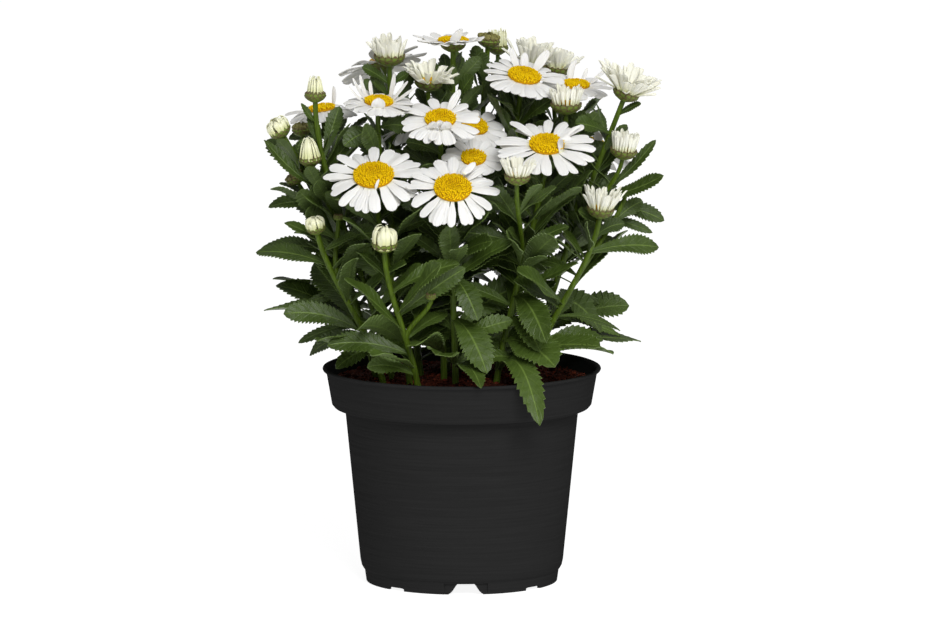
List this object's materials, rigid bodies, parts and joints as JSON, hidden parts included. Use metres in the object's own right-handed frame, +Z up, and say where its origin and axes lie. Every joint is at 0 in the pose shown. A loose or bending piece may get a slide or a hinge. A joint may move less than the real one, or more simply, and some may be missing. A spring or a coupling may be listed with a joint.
{
  "type": "potted shasta daisy",
  "caption": "Flowering shasta daisy plant in a round black nursery pot filled with peat, standing on its foot ring.",
  "frame": {"origin": "on the surface that the pot stands on, under the middle of the whole plant and pot", "axes": "+Z up, -Y towards the front of the plant, +X to its right seen from the front"},
  "size_m": [0.278, 0.2125, 0.3712],
  "materials": {
    "moulded_pot": "moulded black polypropylene, matt with a faint vertical sheen",
    "peat": "coarse damp peat and bark crumbs",
    "white_ray": "soft matt white petal",
    "yellow_floret": "dense yellow florets",
    "cream_ray": "soft matt cream petal",
    "green_leaf": "smooth leaf with a waxy sheen"
  },
  "bodies": {
    "root": {"pot": "moulded_pot", "soil": "peat", "bloom_01_rays": "white_ray", "bloom_02_rays": "white_ray", "bloom_03_rays": "white_ray", "bloom_04_rays": "white_ray", "bloom_05_rays": "white_ray", "bloom_06_rays": "white_ray", "bloom_07_rays": "white_ray", "bloom_08_rays": "white_ray", "bloom_09_rays": "white_ray", "bloom_10_rays": "white_ray", "bloom_11_rays": "white_ray", "bloom_12_rays": "white_ray", "bloom_13_rays": "white_ray", "bloom_14_rays": "white_ray", "bloom_15_rays": "white_ray", "bloom_16_rays": "white_ray", "bloom_01_disc": "yellow_floret", "bloom_02_disc": "yellow_floret", "bloom_03_disc": "yellow_floret", "bloom_04_disc": "yellow_floret", "bloom_05_disc": "yellow_floret", "bloom_06_disc": "yellow_floret", "bloom_07_disc": "yellow_floret", "bloom_08_disc": "yellow_floret", "bloom_09_disc": "yellow_floret", "bloom_10_disc": "yellow_floret", "bloom_11_disc": "yellow_floret", "bloom_12_disc": "yellow_floret", "bloom_13_disc": "yellow_floret", "bloom_14_disc": "yellow_floret", "bloom_15_disc": "yellow_floret", "bloom_16_disc": "yellow_floret", "opening_01": "cream_ray", "opening_02": "cream_ray", "opening_03": "cream_ray", "opening_04": "cream_ray", "opening_05": "cream_ray", "opening_06": "cream_ray", "opening_07": "cream_ray", "opening_08": "cream_ray", "opening_09": "cream_ray", "leafy_stem_01": "green_leaf", "leafy_stem_02": "green_leaf", "leafy_stem_03": "green_leaf", "leafy_stem_04": "green_leaf", "leafy_stem_05": "green_leaf", "leafy_stem_06": "green_leaf", "leafy_stem_07": "green_leaf", "leafy_stem_08": "green_leaf", "leafy_stem_09": "green_leaf", "leafy_stem_10": "green_leaf", "leafy_stem_11": "green_leaf", "leafy_stem_12": "green_leaf", "leafy_stem_13": "green_leaf", "leafy_stem_14": "green_leaf", "leafy_stem_15": "green_leaf", "leafy_stem_16": "green_leaf", "leafy_stem_17": "green_leaf"}
  },
  "joints": []
}
